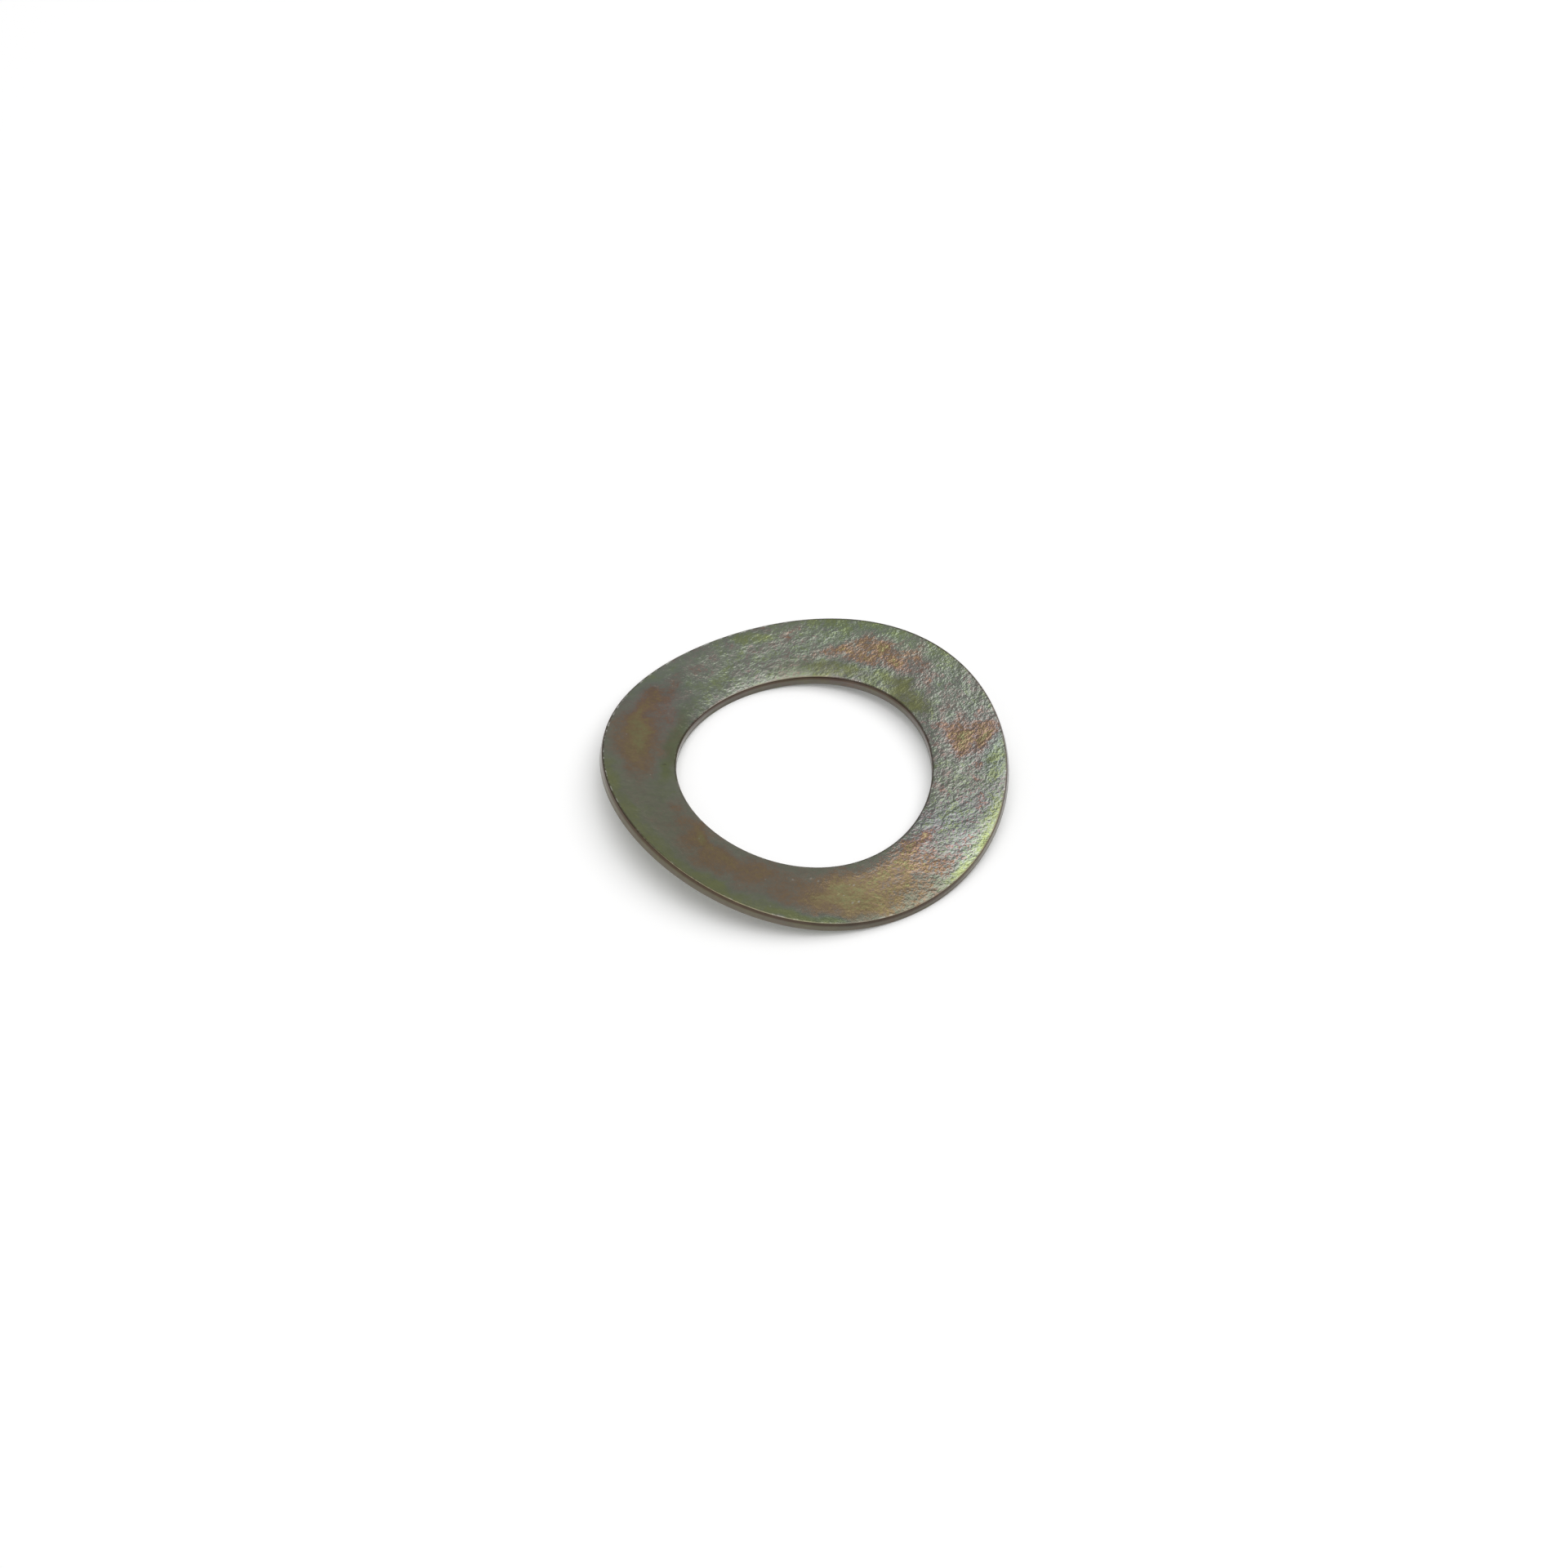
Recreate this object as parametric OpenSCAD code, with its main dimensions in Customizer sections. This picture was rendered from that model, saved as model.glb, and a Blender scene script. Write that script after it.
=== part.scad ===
// Curved spring washer: a ring blanked from thin spring strip, then pressed to one cylindrical bend.
// It lies hollow side up and touches the ground along its low line, which runs along Y.
// The two raised ends are at +X and -X. Z is the axis of the bore.
// The origin is the centre of the ring on the plane that it rests on. All sizes are in mm.

/* [Ring] */
// Outer diameter of the flat blank, which the low line keeps after the bend
outer_diameter = 26; // [21:0.5:34]
// Shaft or bolt that passes through the washer
shaft_diameter = 16; // [10:0.5:19]
// Gap between the shaft and the bore, on the radius
bore_clearance = 0.1; // [0.05:0.05:0.4]

/* [Strip] */
// Thickness of the spring strip
thickness = 0.7; // [0.4:0.05:1.2]

/* [Bend] */
// Radius of the hollow upper face
bend_radius = 34.2; // [22:0.2:80]

/* [Rims] */
// How deep the rolled-over upper rims run down the wall
roll_depth = 0.1; // [0.06:0.01:0.16]
// How far the rolled-over upper rims run in over the face
roll_width = 0.15; // [0.08:0.01:0.2]
// Broken edge of the lower outer rim, the same on wall and face
edge_break = 0.05; // [0.02:0.01:0.1]

/* [Hidden] */
outer_radius = outer_diameter / 2;
bore_radius = shaft_diameter / 2 + bore_clearance;
// The lower face stands on the ground, so the bend axis is one lower-face radius above it
lower_radius = bend_radius + thickness;
bend_axis_height = lower_radius;
// The middle of the strip keeps its length in the bend
middle_radius = bend_radius + thickness / 2;
degrees_per_mm = 180 / PI / middle_radius;
end_angle = outer_radius * degrees_per_mm;
free_height = bend_axis_height - bend_radius * cos(end_angle);

// The plain strip reaches this far past the ring's outline, and the trimming bodies past its faces
reach = 0.3;
// The flared mouth of the bore starts this far inside the bore's wall
mouth_lead_in = 0.06;

// The seam of the bore's wall is turned away from the low line and the raised ends
seam_turn = 45;

// Steps round each rim, and the angles at which the quarter ellipse of a rolled rim is drawn
rim_steps = 96;
roll_angles = [55, 25];

strip_color = [0.47, 0.45, 0.33];

// The rolled rim is a quarter ellipse: angle 0 is on the wall and 90 on the upper face.
// It gives [depth below the upper face, distance in from the wall].
function roll_point(angle) = [roll_depth * (1 - sin(angle)), roll_width * (1 - cos(angle))];

// The same ellipse's tangent at an angle, followed to another depth
function roll_tangent(angle, depth) =
    let (at = roll_point(angle), slope = roll_width * sin(angle) / (roll_depth * cos(angle)))
    [depth, at[1] + (at[0] - depth) * slope];

// The depth at which that tangent has come a distance past the wall
function roll_tangent_depth(angle, past) =
    let (at = roll_point(angle), slope = roll_width * sin(angle) / (roll_depth * cos(angle)))
    at[0] + (at[1] + past) / slope;

// A point of the flat blank, at a radius and a direction, carried round the bend at a depth
function bent(radius, direction, depth) =
    let (turn = radius * cos(direction) * degrees_per_mm, r = bend_radius + depth)
    [r * sin(turn), radius * sin(direction), bend_axis_height - r * cos(turn)];

// A point straight above a circle on the ground, at a depth below the upper face
function upright(radius, direction, depth) =
    let (x = radius * cos(direction), r = bend_radius + depth)
    [x, radius * sin(direction), bend_axis_height - sqrt(r * r - x * x)];

function directions() = [for (i = [0 : rim_steps - 1]) i * 360 / rim_steps];

// Section of the outer rim, from above the upper face to below the lower one, as [depth, inset]
outer_section = concat(
    [roll_tangent(roll_angles[0], -reach)],
    [for (angle = roll_angles) roll_point(angle)],
    [[roll_depth, 0], [thickness - edge_break, 0], [thickness + reach, edge_break + reach]]);

// Section of the bore's upper rim, from above the upper face to inside the bore's wall
mouth_section = concat(
    [roll_tangent(roll_angles[0], -reach)],
    [for (angle = roll_angles) roll_point(angle)],
    [[roll_tangent_depth(roll_angles[len(roll_angles) - 1], mouth_lead_in), -mouth_lead_in]]);

// A closed body through rings of points, listed from the top down, with a tip at each end
module through_rings(high_tip, rings, low_tip) {
    n = len(rings[0]);
    last = n * len(rings) + 1;
    function at(ring, i) = 1 + ring * n + i % n;
    polyhedron(
        points = concat([high_tip], [for (ring = rings) each ring], [low_tip]),
        faces = concat(
            [for (i = [0 : n - 1]) [0, at(0, i + 1), at(0, i)]],
            [for (k = [0 : len(rings) - 2], i = [0 : n - 1]) each [
                [at(k, i), at(k, i + 1), at(k + 1, i + 1)],
                [at(k, i), at(k + 1, i + 1), at(k + 1, i)]]],
            [for (i = [0 : n - 1]) [last, at(len(rings) - 1, i), at(len(rings) - 1, i + 1)]]));
}

// The plain strip, bent to a part of a tube that lies along Y
module bent_strip() {
    half_angle = end_angle + reach * degrees_per_mm;
    width = outer_diameter + 2 * reach;
    translate([0, 0, bend_axis_height])
        rotate([90, 0, 0])
        rotate_extrude(start = 270 - half_angle, angle = 2 * half_angle, $fn = 720)
        translate([bend_radius, -width / 2])
        square([thickness, width]);
}

// Everything inside the ring's outer wall, which stands square to the strip at every point
module outer_outline() {
    through_rings(
        [0, 0, free_height + reach],
        [for (s = outer_section) [for (a = directions()) bent(outer_radius - s[1], a, s[0])]],
        [0, 0, bend_axis_height - (lower_radius + reach) / cos(end_angle) - reach]);
}

// The rolled-over mouth of the bore, which follows the hollow face
module bore_mouth() {
    through_rings(
        [0, 0, free_height + reach],
        [for (s = mouth_section) [for (a = directions()) upright(bore_radius + s[1], a, s[0])]],
        [0, 0, -reach]);
}

// The round bore, straight through
module bore() {
    rotate([0, 0, seam_turn])
        translate([0, 0, -reach])
        cylinder(r = bore_radius, h = free_height + 2 * reach, $fn = 360);
}

module washer() {
    color(strip_color)
        difference() {
            difference() {
                intersection() {
                    bent_strip();
                    outer_outline();
                }
                bore_mouth();
            }
            bore();
        }
}

washer();
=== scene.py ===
import math

import bpy
import numpy as np
from mathutils import Matrix, Vector


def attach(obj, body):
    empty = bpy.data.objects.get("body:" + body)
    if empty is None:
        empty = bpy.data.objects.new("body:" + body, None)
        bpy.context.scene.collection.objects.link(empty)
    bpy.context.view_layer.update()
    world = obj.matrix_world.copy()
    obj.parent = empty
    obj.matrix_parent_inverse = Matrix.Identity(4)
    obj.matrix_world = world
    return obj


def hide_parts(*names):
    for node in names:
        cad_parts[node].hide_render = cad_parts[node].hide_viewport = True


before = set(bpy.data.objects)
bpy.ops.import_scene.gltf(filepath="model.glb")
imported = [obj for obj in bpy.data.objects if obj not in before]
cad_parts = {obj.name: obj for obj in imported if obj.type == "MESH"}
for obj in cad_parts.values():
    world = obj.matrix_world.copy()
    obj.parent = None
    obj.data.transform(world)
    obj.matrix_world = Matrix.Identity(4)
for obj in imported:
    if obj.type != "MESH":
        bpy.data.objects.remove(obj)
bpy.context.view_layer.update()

# The washer: one ring of spring strip, blanked between punch and die and then pressed to a
# single bend. Its upper rims are rolled over by the tools, its cut walls stand square to the
# strip and its lower outer edge is rounded. Sizes are in millimetres until the mesh is written.
OUTER_RADIUS = 13.0
BORE_RADIUS = 8.1
THICKNESS = 0.7
BEND_RADIUS = 34.2
BEND_AXIS_HEIGHT = BEND_RADIUS + THICKNESS
MIDDLE_RADIUS = BEND_RADIUS + THICKNESS / 2
MM = 0.001

# The rolled rims, the dish that the tools drew down beside them, and the lower outer edge
ROLL_DEPTH = 0.1
ROLL_WIDTH = 0.15
DISH_DEPTH = 0.04
DISH_WIDTH = 1.1
EDGE_ROUND = 0.0854

# The torn lower band of the cut walls: the depth where it starts, the depth over which it
# grows, how far it is torn back, and the least of that as a share
TORN_FROM = 0.38
TORN_GROWTH = 0.08
TORN_BACK = 0.014
TORN_LEAST = 0.3
TORN_SEED = 11

# Points round the ring, and along each part of its section
AROUND = 720
ON_FACE = 56
ON_ROLL = 9
ON_WALL = 14
ON_EDGE = 5
ON_UNDERSIDE = 24


def section_part(blend, inset, depth):
    """Rows of [blend, inset, depth]. A single number fills its whole column."""
    return np.stack(np.broadcast_arrays(blend, inset, depth), 1)


def washer_section():
    """The closed line round the ring's section, as rows of [blend, inset, depth].

    Blend is 0 at the bore and 1 at the outer rim, inset is the distance from that wall into
    the face, and depth is measured down from the upper face. The line runs out over the upper
    face, round the rolled rim (a quarter ellipse), down the outer wall, round the lower edge
    (a quarter circle), back along the lower face, up the bore's wall and round its rolled rim.
    Towards each rim the upper face sinks by a square law, as far as the tools drew it down.
    """
    over = (1 - np.cos(np.linspace(0, np.pi, ON_FACE))) / 2
    face_width = OUTER_RADIUS - BORE_RADIUS - 2 * ROLL_WIDTH
    from_rim = np.minimum(over, 1 - over) * face_width / DISH_WIDTH
    dish = DISH_DEPTH * np.clip(1 - from_rim, 0, None) ** 2
    roll_turn = np.radians(np.linspace(90, 0, ON_ROLL))[1:]
    roll_inset = ROLL_WIDTH * (1 - np.cos(roll_turn))
    roll_depth = ROLL_DEPTH - (ROLL_DEPTH - DISH_DEPTH) * np.sin(roll_turn)
    down = np.linspace(ROLL_DEPTH, THICKNESS - EDGE_ROUND, ON_WALL)[1:]
    edge_turn = np.radians(np.linspace(0, 90, ON_EDGE))[1:]
    edge_inset = EDGE_ROUND * (1 - np.cos(edge_turn))
    edge_depth = THICKNESS - EDGE_ROUND * (1 - np.sin(edge_turn))
    back = np.linspace(1, 0, ON_UNDERSIDE)[1:]
    up = np.linspace(THICKNESS, ROLL_DEPTH, ON_WALL)[1:]
    return np.concatenate([
        section_part(over, ROLL_WIDTH, dish),
        section_part(1, roll_inset, roll_depth),
        section_part(1, 0, down),
        section_part(1, edge_inset, edge_depth),
        section_part(back, EDGE_ROUND * back, THICKNESS),
        section_part(0, 0, up),
        section_part(0, roll_inset[:0:-1], roll_depth[:0:-1]),
    ])


def bent_ring(direction, blend, inset, depth):
    """Points of the bent ring, in mm, and their places in the flat blank.

    The bore's points stand straight above a circle on the ground. The outer wall's points are
    those of a circle in the flat blank, carried round the bend: x becomes r sin(x / middle
    radius). Points between are mixed in plan, and every point's height is the bend axis's
    height less the root of (r squared - x squared), where r is the bend radius plus depth.
    """
    r = BEND_RADIUS + depth
    bore = BORE_RADIUS + inset
    rim = OUTER_RADIUS - inset
    bore_x = (1 - blend) * bore * np.cos(direction)
    rim_x = blend * r * np.sin(rim * np.cos(direction) / MIDDLE_RADIUS)
    x = bore_x + rim_x
    y = ((1 - blend) * bore + blend * rim) * np.sin(direction)
    z = BEND_AXIS_HEIGHT - np.sqrt(r * r - x * x)
    flat_x = MIDDLE_RADIUS * np.arcsin(x / r)
    flat_z = np.broadcast_to(-depth, x.shape)
    return np.stack([x, y, z], -1), np.stack([flat_x, y, flat_z], -1)


def grid_mesh(name, points, flat):
    """A mesh of four-sided faces over a grid of points that closes on itself both ways."""
    rows, columns = points.shape[:2]
    i, j = np.meshgrid(np.arange(rows), np.arange(columns), indexing="ij")
    next_i, next_j = (i + 1) % rows, (j + 1) % columns
    corners = [(i, j), (next_i, j), (next_i, next_j), (i, next_j)]
    quads = np.stack([row * columns + column for row, column in corners], -1).reshape(-1, 4)
    mesh = bpy.data.meshes.new(name)
    mesh.from_pydata((points * MM).reshape(-1, 3).tolist(), [], quads.tolist())
    flat_layer = mesh.attributes.new("flat", "FLOAT_VECTOR", "POINT")
    flat_layer.data.foreach_set("vector", flat.astype(np.float32).ravel())
    mesh.polygons.foreach_set("use_smooth", np.ones(len(quads), bool))
    mesh.update()
    piece = bpy.data.objects.new(name, mesh)
    bpy.context.scene.collection.objects.link(piece)
    return piece


# The ring, with the lower band of its cut walls torn back by a random amount at each point,
# which is averaged with three neighbours' amounts
direction = np.linspace(0, 2 * np.pi, AROUND, endpoint=False)[None, :]
blend, inset, depth = washer_section().T[:, :, None]
at_a_rim = (blend % 1 == 0) & (depth < THICKNESS)
on_wall = at_a_rim & (inset == 0)
torn = np.clip((depth - TORN_FROM) / TORN_GROWTH, 0, 1) * on_wall
rough = np.random.default_rng(TORN_SEED).random((len(depth), AROUND))
rough = (rough + np.roll(rough, 1, 1) + np.roll(rough, 1, 0)
         + np.roll(rough, (1, 1), (0, 1))) / 4
torn_inset = inset + TORN_BACK * torn * (TORN_LEAST + rough)
washer = grid_mesh("plated_ring", *bent_ring(direction, blend, torn_inset, depth))

# How far round a rolled rim a point is: 0 on the faces, 1 where the rim meets its wall
round_rim = np.where(inset < ROLL_WIDTH, 1 - inset / ROLL_WIDTH, 0.0) * at_a_rim
edge_layer = washer.data.attributes.new("edge", "FLOAT", "POINT")
edge_layer.data.foreach_set("value", np.repeat(round_rim, AROUND).astype(np.float32))


class Value:
    """A shader socket whose value varies over the surface. Python's operators add Math nodes."""

    def __init__(self, paint, socket):
        self.paint, self.socket = paint, socket

    def maths(self, operation, *values):
        """A Math node on these values or numbers."""
        return self.paint.node("ShaderNodeMath", {"operation": operation}, *values)

    def __add__(self, other):
        return self.maths("ADD", self, other)

    def __sub__(self, other):
        return self.maths("SUBTRACT", self, other)

    def __rsub__(self, other):
        return self.maths("SUBTRACT", other, self)

    def __mul__(self, other):
        return self.maths("MULTIPLY", self, other)

    __radd__ = __add__
    __rmul__ = __mul__

    def larger(self, other):
        """The larger of the two, which joins two masks."""
        return self.maths("MAXIMUM", self, other)

    def step(self, low, high):
        """0 below low, 1 above high and smooth between; high may be the lower of the two."""
        ends = (low, high, 0.0, 1.0) if low < high else (high, low, 1.0, 0.0)
        settings = {"interpolation_type": "SMOOTHSTEP"}
        return self.paint.node("ShaderNodeMapRange", settings, self, *ends)


class Paint:
    """The nodes of a material or of the world."""

    def __init__(self, owner):
        owner.use_nodes = True
        self.owner, self.tree = owner, owner.node_tree
        self.tree.nodes.clear()

    def node(self, kind, settings=None, *values, out=0, **named):
        """Any node: its settings, then its sockets' values or links, in order or by name."""
        node = self.tree.nodes.new(kind)
        for key, value in (settings or {}).items():
            if key == "stops":
                ramp = node.color_ramp.elements
                while len(ramp) < len(value):
                    ramp.new(0.5)
                for element, (position, color) in zip(ramp, value):
                    element.position, element.color = position, (*color, 1.0)
            else:
                setattr(node, key, value)
        for key, value in [*enumerate(values), *named.items()]:
            socket = node.inputs[key.replace("_", " ") if isinstance(key, str) else key]
            if isinstance(value, Value):
                self.tree.links.new(value.socket, socket)
            elif value is not None:
                socket.default_value = value
        self.last = node
        return Value(self, node.outputs[out]) if node.outputs else None

    def output(self, name):
        """Another output of the newest node."""
        return Value(self, self.last.outputs[name])

    def vector(self, operation, *values, out=0):
        """Vector Math on a place or a direction."""
        return self.node("ShaderNodeVectorMath", {"operation": operation}, *values, out=out)

    def mix(self, factor, first, second, blend="MIX"):
        """A colour between two, or the first one multiplied by the second, by a factor."""
        settings = {"data_type": "RGBA", "blend_type": blend, "clamp_factor": True}
        colors = [color if isinstance(color, Value) else (*color, 1.0)
                  for color in (first, second)]
        # The node has five sockets for numbers and vectors before those for colours
        skipped = [None] * 5
        return self.node("ShaderNodeMix", settings, factor, *skipped, *colors, out=2)


# The finish: zinc plate under a yellow chromate film, which is dipped on. The film's thickness
# wanders, so its colour runs from olive green through steel grey and reddish brown to gold.
# Under it is the hammered grain of the mill's rolls. Places are in mm on the flat blank.
plate = Paint(bpy.data.materials.new("yellow_passivated_zinc"))
place = plate.node("ShaderNodeAttribute", {"attribute_name": "flat"}, out="Vector")
edge = plate.node("ShaderNodeAttribute", {"attribute_name": "edge"}, out="Fac")
along_x = plate.node("ShaderNodeSeparateXYZ", None, place)
along_y, above = plate.output("Y"), plate.output("Z")
upper_side = above.step(-0.6, -0.2)


def noise(scale, detail, roughness, out="Fac"):
    """A noise over the flat blank: its value, or a vector where out is Color."""
    return plate.node("ShaderNodeTexNoise", None, place, Scale=scale, Detail=detail,
                      Roughness=roughness, out=out)


# Slow wandering of the stains' outlines, in mm from one side to the other
WANDER = 2.4
wander = plate.vector("SUBTRACT", noise(0.55, 1.5, 0.5, out="Color"), (0.5, 0.5, 0.5))
wander = plate.vector("MULTIPLY", wander, (WANDER, WANDER, 0.0))
stain_place = plate.vector("MULTIPLY", plate.vector("ADD", place, wander), (1.0, 1.0, 0.0))


def oval(where, x, y, long, wide, turn):
    """The distance from (x, y), as a share of an oval's half axes: 1 on the oval itself.

    The half axes are long and wide, and long is turned from X by turn degrees.
    """
    turned = (0.0, 0.0, math.radians(turn))
    inside = plate.node("ShaderNodeMapping", {"vector_type": "TEXTURE"}, where, (x, y, 0.0),
                        turned, (long, wide, 1.0))
    return plate.vector("LENGTH", inside, out="Value")


def stain(x, y, long, wide, turn, soft):
    """1 inside a wandering oval in the flat blank and 0 outside, with a soft edge."""
    return oval(stain_place, x, y, long, wide, turn).step(1.0 + soft, 1.0 - soft)


# Thicker film, from reddish brown to gold: x, y, half length, half width, turn, rise, softness
thick_film = [
    (-9.2, 6.0, 2.0, 1.3, 62, 0.25, 0.9), (-7.0, 8.4, 2.8, 1.6, 46, 0.29, 0.9),
    (-4.4, 9.8, 1.7, 1.1, 20, 0.18, 0.9), (-7.1, 8.5, 1.5, 0.5, 46, 0.20, 0.9),
    (-1.6, 10.9, 1.8, 0.7, 8, 0.08, 0.8), (-9.6, -2.4, 2.5, 1.4, 80, 0.28, 0.9),
    (-8.9, -1.9, 1.1, 0.5, 70, 0.22, 0.9), (-8.6, -5.0, 1.8, 1.3, -60, 0.19, 0.8),
    (-7.2, -7.4, 1.8, 1.1, -50, 0.14, 0.8), (-9.2, 1.0, 0.5, 0.5, 0, 0.18, 0.8),
    (-11.8, 0.0, 0.6, 0.8, 0, 0.12, 0.9), (-4.8, -9.7, 3.2, 1.2, -22, 0.27, 0.8),
    (-1.6, -11.0, 3.2, 1.9, -10, 0.28, 0.8), (2.0, -10.0, 2.2, 1.4, -15, 0.22, 0.7),
    (-2.0, -9.9, 2.4, 0.6, -12, 0.12, 0.8), (-6.6, -6.2, 2.6, 0.9, -46, 0.12, 0.8),
    (-3.0, -8.5, 2.6, 0.6, -20, 0.16, 0.8), (2.2, -8.9, 1.8, 0.6, 12, 0.16, 0.8),
    (10.5, -4.1, 2.0, 1.5, -14, 0.20, 0.45), (10.3, -4.1, 1.3, 0.8, -14, 0.20, 0.6),
    (9.7, -5.3, 0.9, 0.8, 0, 0.12, 0.7), (10.7, 1.2, 0.9, 1.8, 0, 0.04, 0.8),
    (9.2, 5.4, 2.2, 0.9, -48, 0.32, 0.6), (7.2, 7.4, 0.8, 0.5, -45, 0.20, 0.7),
    (10.6, 3.2, 1.0, 1.4, 10, 0.12, 0.8),
]
# Thinner film, from grey to yellow green, with a fall in place of the rise
thin_film = [
    (8.8, 1.2, 0.95, 2.2, 0, 0.26, 0.6), (7.9, 4.3, 0.8, 1.6, 28, 0.18, 0.6),
    (6.0, 6.4, 1.8, 0.7, -47, 0.19, 0.6), (3.7, 11.7, 1.6, 0.6, -15, 0.22, 0.7),
    (9.0, 8.9, 2.2, 0.8, -45, 0.22, 0.7), (12.3, 2.5, 0.6, 1.8, 0, 0.16, 0.7),
    (10.6, -6.6, 1.8, 0.5, 25, 0.22, 0.7), (7.4, -10.4, 2.8, 0.5, 40, 0.22, 0.7),
    (3.6, -12.2, 1.6, 0.5, 15, 0.28, 0.6), (-12.5, 0.5, 0.7, 4.6, 0, 0.26, 0.7),
    (-11.4, -5.6, 2.6, 0.8, -64, 0.28, 0.7), (-8.9, -9.0, 2.6, 0.8, -45, 0.26, 0.7),
    (-6.8, -11.0, 2.2, 0.6, -32, 0.26, 0.7), (-11.6, 5.0, 1.6, 0.7, 67, 0.25, 0.7),
    (-5.2, 11.5, 1.8, 0.7, 25, 0.18, 0.8), (-8.0, 4.2, 1.4, 0.7, 62, 0.12, 0.8),
    (-2.2, 9.3, 3.6, 0.9, 12, 0.12, 0.8), (4.6, -8.9, 1.6, 0.9, 25, 0.12, 0.8),
    (11.2, 6.3, 1.4, 0.7, -60, 0.15, 0.8),
]
stained = 0.0
for x, y, long, wide, turn, rise, soft in thick_film:
    stained = stain(x, y, long, wide, turn, soft) * rise + stained
for x, y, long, wide, turn, fall, soft in thin_film:
    stained = stained - stain(x, y, long, wide, turn, soft) * fall

# Between the stains the film wanders slowly, in patches and in a fine speckle. The last two are
# stronger towards the right, where the grain is deep. The film's thickness is a plain number:
# 0 is olive green, 0.4 steel grey, 0.7 reddish brown and 1 gold.
MIDDLE_FILM = 0.4
SLOW_SHARE = 0.3
STAIN_SHARE = 1.15
fine = noise(5.0, 2.0, 0.6)
near_right = along_y.step(-5.0, -9.0) * along_x.step(-5.0, 0.0)
speckle = (fine - 0.5) * (along_x.step(-4.0, 4.0) * 0.3 + near_right * 0.55 + 0.5)
patchy = (noise(1.2, 1.0, 0.5) - 0.5) * (along_x.step(-6.0, 2.0) * 0.4 + 0.3)
film = (noise(0.3, 2.0, 0.5) - 0.5) * SLOW_SHARE + patchy + speckle
film = film + stained * upper_side * STAIN_SHARE + MIDDLE_FILM

# The film's colours, along a ramp that ends at a thickness of 1 / RAMP_SCALE
RAMP_SCALE = 0.85
film_color = plate.node("ShaderNodeValToRGB", {"stops": [
    (0.00, (0.274, 0.312, 0.160)), (0.153, (0.258, 0.294, 0.192)), (0.306, (0.258, 0.284, 0.240)),
    (0.408, (0.274, 0.272, 0.246)), (0.51, (0.290, 0.244, 0.222)), (0.612, (0.312, 0.208, 0.164)),
    (0.731, (0.340, 0.238, 0.140)), (0.85, (0.340, 0.300, 0.160)), (1.00, (0.312, 0.326, 0.172)),
]}, film * RAMP_SCALE)

# The left half is yellower and duller
DULL_YELLOW = (0.285, 0.276, 0.130)
yellow = (along_x * 0.9 + along_y * 0.35).step(1.0, -6.0)
surface_color = plate.mix(yellow * 0.25, film_color, DULL_YELLOW)

# Brown walls, then two marks of painted shade at each rolled rim
WALL_BROWN = (0.140, 0.126, 0.100)
SHADE_LINE_BROWN = (0.062, 0.034, 0.018)
RIM_SHADE_BROWN = (0.095, 0.072, 0.060)
surface_color = plate.mix(edge.step(0.9, 1.0) * 0.45, surface_color, WALL_BROWN)
# Painted shade: a thin dark line just below each rolled rim, where the die roll falls into shadow
shade_line = edge.step(0.5, 0.95) * above.step(-0.34, -0.20)
surface_color = plate.mix(shade_line * 0.9, surface_color, SHADE_LINE_BROWN)
# Painted shade: a dark fringe round the rim itself, which dulls the rim's reflection
surface_color = plate.mix(edge.step(0.08, 0.4) * 0.6, surface_color, RIM_SHADE_BROWN)

# Painted highlights: broken bright glints along the rolled rims, most of them at the raised far
# left
GLINT_WHITE = (0.78, 0.78, 0.74)
outer_part = (along_x * along_x + along_y * along_y).step(100.0, 140.0)
far_left = (along_y * 0.9 - along_x * 0.3).step(3.0, 10.0) * outer_part
rim_glints = (noise(1.3, 4.0, 0.75) + far_left * 0.06).step(0.52, 0.66)
rim_glints = rim_glints * edge.step(0.0, 0.2) * edge.step(0.7, 0.4)
surface_color = plate.mix(rim_glints * (far_left * 0.6 + 0.3), surface_color, GLINT_WHITE)

# The hammered grain: deepest along the near right rim, faint on the left and where the film is
# smooth and olive. It comes in clumps of deeper and fainter marks. Its height is in metres.
GRAIN_HEIGHT = 3.2e-5
smooth_spot = stain(8.9, 1.3, 1.1, 2.2, 0, 0.5).larger(stain(6.2, 6.3, 1.8, 0.8, -47, 0.6))
smooth_spot = smooth_spot.larger(stain(4.5, 7.6, 1.6, 0.9, -30, 0.6))
smooth_spot = smooth_spot.larger(stain(10.5, -4.1, 1.8, 1.2, -18, 0.3) * 0.45)
grain_depth = (along_x + along_y * 0.3).step(-6.0, 1.0) * 0.6
grain_depth = grain_depth + (along_x * 0.7 - along_y * 0.72).step(6.0, 12.0) * 0.9 + 0.45
grain_depth = grain_depth * (noise(0.9, 1.0, 0.5).step(0.35, 0.65) * 0.6 + 0.7)
grain_depth = grain_depth * (1.0 - smooth_spot * 0.7) * (1.0 - along_y.step(2.0, 8.0) * 0.2)
grain_depth = grain_depth * (1.0 - edge.step(0.8, 1.0) * 0.5)
relief = plate.node("ShaderNodeBump", None, Strength=1.0, Distance=GRAIN_HEIGHT,
                    Height=noise(3.6, 3.0, 0.6) * grain_depth)
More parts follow.
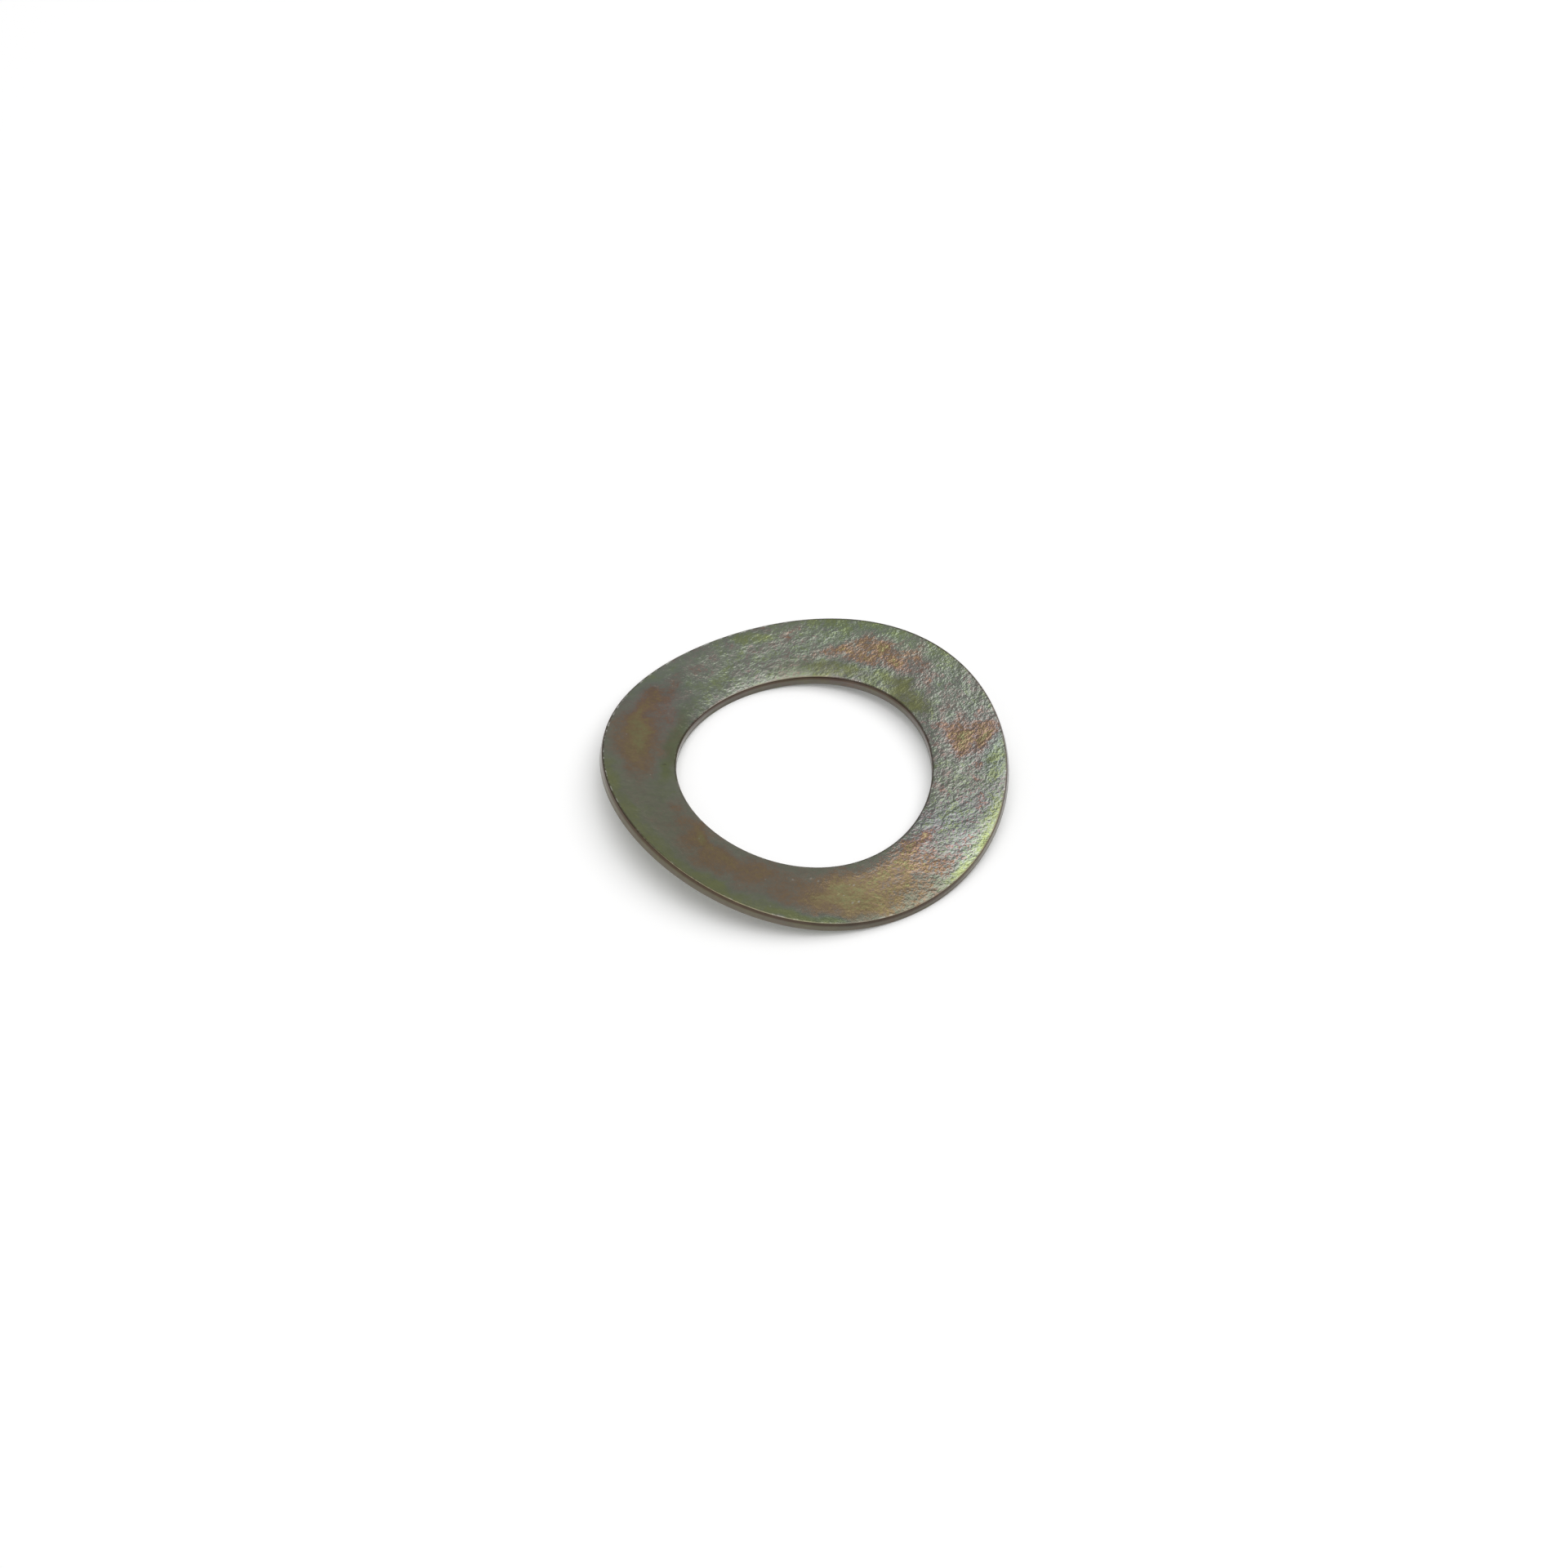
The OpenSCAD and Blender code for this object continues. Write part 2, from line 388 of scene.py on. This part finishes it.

# Partly painted light: the pale tints at the near right rim are painted sheen and highlights, and
# the pale tints over the far side and at the right rim are painted light
# Where the film is paler or darker: x, y, half length, half width, turn, softness, tint
film_tints_and_painted_light = [
    (8.9, 1.3, 1.1, 2.2, 0, 0.5, (0.88, 0.82, 0.77)),
    (6.2, 6.3, 1.8, 0.8, -47, 0.6, (0.86, 0.79, 0.81)),
    (4.5, 7.6, 1.6, 1.0, -30, 0.8, (0.86, 0.88, 0.76)),
    (5.9, -11.3, 2.5, 0.6, 28, 0.7, (1.24, 1.25, 1.14)),
    (11.1, -0.4, 1.2, 2.4, 0, 0.8, (1.08, 1.12, 1.10)),
    (4.8, -10.9, 1.4, 0.8, 22, 0.6, (1.17, 1.21, 1.25)),
    (5.2, -8.6, 2.6, 1.6, 10, 0.8, (0.97, 0.98, 1.12)),
    (3.6, -9.6, 1.4, 1.2, 0, 0.8, (1.03, 0.99, 0.95)),
    (6.8, -7.8, 1.8, 1.4, 45, 0.8, (0.89, 0.89, 0.85)),
    (9.2, -8.4, 1.8, 0.8, 45, 0.8, (0.87, 0.86, 0.91)),
    (10.8, -5.2, 1.8, 2.0, -14, 0.8, (0.87, 0.91, 0.95)),
    (0.0, 11.0, 4.5, 2.2, 0, 0.8, (1.18, 1.20, 1.15)),
    (6.0, 11.0, 2.0, 1.0, -30, 0.8, (1.12, 1.12, 1.06)),
    (11.8, 4.0, 1.0, 3.0, 18, 0.8, (1.16, 1.20, 1.11)),
    (8.6, 7.4, 3.5, 2.0, -45, 0.8, (1.08, 1.14, 1.06)),
    (-3.4, 10.6, 2.0, 0.9, 12, 0.8, (0.83, 0.86, 0.83)),
    (-5.9, 6.1, 3.4, 0.6, 46, 0.7, (0.83, 0.87, 0.66)),
    (-11.4, -1.0, 6.0, 2.2, 90, 0.8, (0.93, 0.92, 0.87)),
    (-5.0, -11.6, 2.4, 0.8, -22, 0.8, (0.82, 0.88, 0.91)),
    (-1.6, -12.2, 4.2, 0.9, -6, 0.8, (0.78, 0.79, 0.73)),
]
for x, y, long, wide, turn, soft, tint in film_tints_and_painted_light:
    shaded = stain(x, y, long, wide, turn, soft) * upper_side
    surface_color = plate.mix(shaded, surface_color, tint, "MULTIPLY")

# Faint mottling of the whole film
MOTTLE_TINT = (1.11, 1.10, 1.08)
mottle = noise(1.7, 4.0, 0.65).step(0.68, 0.32)
surface_color = plate.mix(mottle, surface_color, MOTTLE_TINT, "MULTIPLY")

# Pale specks, which are painted glints of small bumps, a few pale scuffs and one short dark nick
SPECK_GREY = (0.62, 0.64, 0.60)
NICK_BROWN = (0.09, 0.07, 0.05)
scuffs = [(-2.6, -9.6), (-5.8, -7.5), (-4.7, -7.9), (-4.4, -8.3), (-3.5, -10.8), (-3.1, -10.9)]
cells = plate.node("ShaderNodeTexVoronoi", None, place, Scale=1.1)
chosen = plate.node("ShaderNodeSeparateColor", None, plate.output("Color"))
speck = cells.step(0.07, 0.03) * chosen.step(0.62, 0.64) * above.step(-0.05, 0.0)
for x, y in scuffs:
    speck = speck.larger(oval(place, x, y, 0.13, 0.08, 30).step(1.2, 0.2))
surface_color = plate.mix(speck * 0.4, surface_color, SPECK_GREY)
nick = oval(place, -7.69, 4.58, 0.15, 0.05, -20).step(1.3, 0.6)
surface_color = plate.mix(nick * 0.5, surface_color, NICK_BROWN)

# The surface scatters light more widely at the near left, below the bore
roughness = fine * 0.12 + stain(-2.2, -10.6, 4.0, 2.0, -12, 0.8) * 0.12 + 0.14
shine = plate.node("ShaderNodeBsdfPrincipled", None, Base_Color=surface_color, Metallic=1.0,
                   Roughness=roughness, Normal=relief)
plate.node("ShaderNodeOutputMaterial", None, shine)

washer.data.materials.append(plate.owner)
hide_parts("washer")
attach(washer, "root")

# The floor: a sheet of matt pale paper, laid under the washer, which takes its shadow. The
# camera and the reflections see it glow a little, and white far off, so that no horizon shows.
# Its sizes are in metres.
FLOOR_HALF = 4.0
PAPER_COLOR = (0.95, 0.95, 0.95, 1.0)
PAPER_GLOW = 0.12
WHITE_FROM, WHITE_TO = 0.2, 0.8
floor_mesh = bpy.data.meshes.new("floor")
floor_mesh.from_pydata(
    [(x * FLOOR_HALF, y * FLOOR_HALF, 0) for x, y in ((-1, -1), (1, -1), (1, 1), (-1, 1))],
    [], [(0, 1, 2, 3)])
floor = bpy.data.objects.new("floor", floor_mesh)
bpy.context.scene.collection.objects.link(floor)


def seen_directly(paint):
    """1 for rays from the camera, a mirror or through glass, and 0 for scattered light."""
    camera_ray = paint.node("ShaderNodeLightPath")
    mirrored, through_glass = paint.output("Is Glossy Ray"), paint.output("Is Transmission Ray")
    return camera_ray.larger(mirrored).larger(through_glass)


paper = Paint(bpy.data.materials.new("pale_floor"))
matt = paper.node("ShaderNodeBsdfDiffuse", None, Color=PAPER_COLOR)
glow = paper.node("ShaderNodeEmission", None, Strength=PAPER_GLOW)
bright = paper.node("ShaderNodeAddShader", None, matt, glow)
floor_place = paper.node("ShaderNodeTexCoord", out="Object")
far_off = paper.vector("LENGTH", floor_place, out="Value").step(WHITE_FROM, WHITE_TO)
far_white = paper.node("ShaderNodeEmission", None, Strength=1.0)
shown = paper.node("ShaderNodeMixShader", None, far_off, bright, far_white)
surface = paper.node("ShaderNodeMixShader", None, seen_directly(paper), matt, shown)
paper.node("ShaderNodeOutputMaterial", None, surface)
floor_mesh.materials.append(paper.owner)

# The camera stands where the photograph's did: 48 degrees above the floor with a long lens,
# and rolled by a degree or so, because the ground in the picture isn't quite level.
VIEW_TURN, VIEW_HEIGHT, VIEW_ROLL = math.radians(33.02), math.radians(47.69), math.radians(1.21)
VIEW_DISTANCE = 232.3 * MM
SENSOR_WIDTH, LENS_LENGTH = 36.0, 84.15
SHIFT_X, SHIFT_Y = -0.01273, -0.00758
CLIP_START, CLIP_END = 0.01, 20.0
camera_data = bpy.data.cameras.new("camera")
camera = bpy.data.objects.new("camera", camera_data)
bpy.context.scene.collection.objects.link(camera)
camera_data.sensor_width, camera_data.lens = SENSOR_WIDTH, LENS_LENGTH
camera_data.shift_x, camera_data.shift_y = SHIFT_X, SHIFT_Y
camera_data.clip_start, camera_data.clip_end = CLIP_START, CLIP_END
from_view = Matrix.Rotation(-VIEW_TURN, 3, "Z") @ Matrix.Rotation(-VIEW_ROLL, 3, "Y")
right = from_view @ Vector((1, 0, 0))
up = from_view @ Vector((0, math.sin(VIEW_HEIGHT), math.cos(VIEW_HEIGHT)))
back = from_view @ Vector((0, -math.cos(VIEW_HEIGHT), math.sin(VIEW_HEIGHT)))
target = Vector((0, 0, THICKNESS * MM))
facing = Matrix((right, up, back)).transposed().to_4x4()
camera.matrix_world = Matrix.Translation(target + back * VIEW_DISTANCE) @ facing
bpy.context.scene.camera = camera

# The light: an even surround at less than half strength, and a soft box overhead. The camera
# and the reflections see the surround white near the horizon, where it meets the floor.
WHITE = (1.0, 1.0, 1.0, 1.0)
SURROUND_STRENGTH = 0.4
BAND_TOP, BAND_FULL = 0.24, 0.22
world = bpy.data.worlds.new("surround")
bpy.context.scene.world = world
sky = Paint(world)
dim = sky.node("ShaderNodeBackground", None, Color=WHITE, Strength=SURROUND_STRENGTH)
white = sky.node("ShaderNodeBackground", None, Color=WHITE, Strength=1.0)
sky.node("ShaderNodeSeparateXYZ", None, sky.node("ShaderNodeTexCoord"))
near_horizon = sky.output("Z").step(BAND_TOP, BAND_FULL)
sky.node("ShaderNodeOutputWorld", None, sky.node(
    "ShaderNodeMixShader", None, seen_directly(sky) * near_horizon, dim, white))

# The soft box is a round lamp, hung a little to the camera's right. Its far edge is about 55
# degrees above the floor as the washer sees it, so a level place mirrors the surround below
# that edge, and the slopes of the grain catch the box. Its sizes are in metres, and a disk of
# even radiance gives pi times its area times that radiance in watts.
BOX_HEIGHT, BOX_RADIUS, BOX_SHIFT, BOX_RADIANCE = 0.6, 0.45, 0.18, 1.7
box_data = bpy.data.lights.new("soft_box", "AREA")
box_data.shape = "DISK"
box_data.size = 2 * BOX_RADIUS
box_data.energy = BOX_RADIANCE * math.pi * math.pi * BOX_RADIUS ** 2
soft_box = bpy.data.objects.new("soft_box", box_data)
bpy.context.scene.collection.objects.link(soft_box)
soft_box.location = right.to_2d().normalized().to_3d() * BOX_SHIFT + Vector((0, 0, BOX_HEIGHT))

bpy.context.scene.view_settings.view_transform = "Standard"
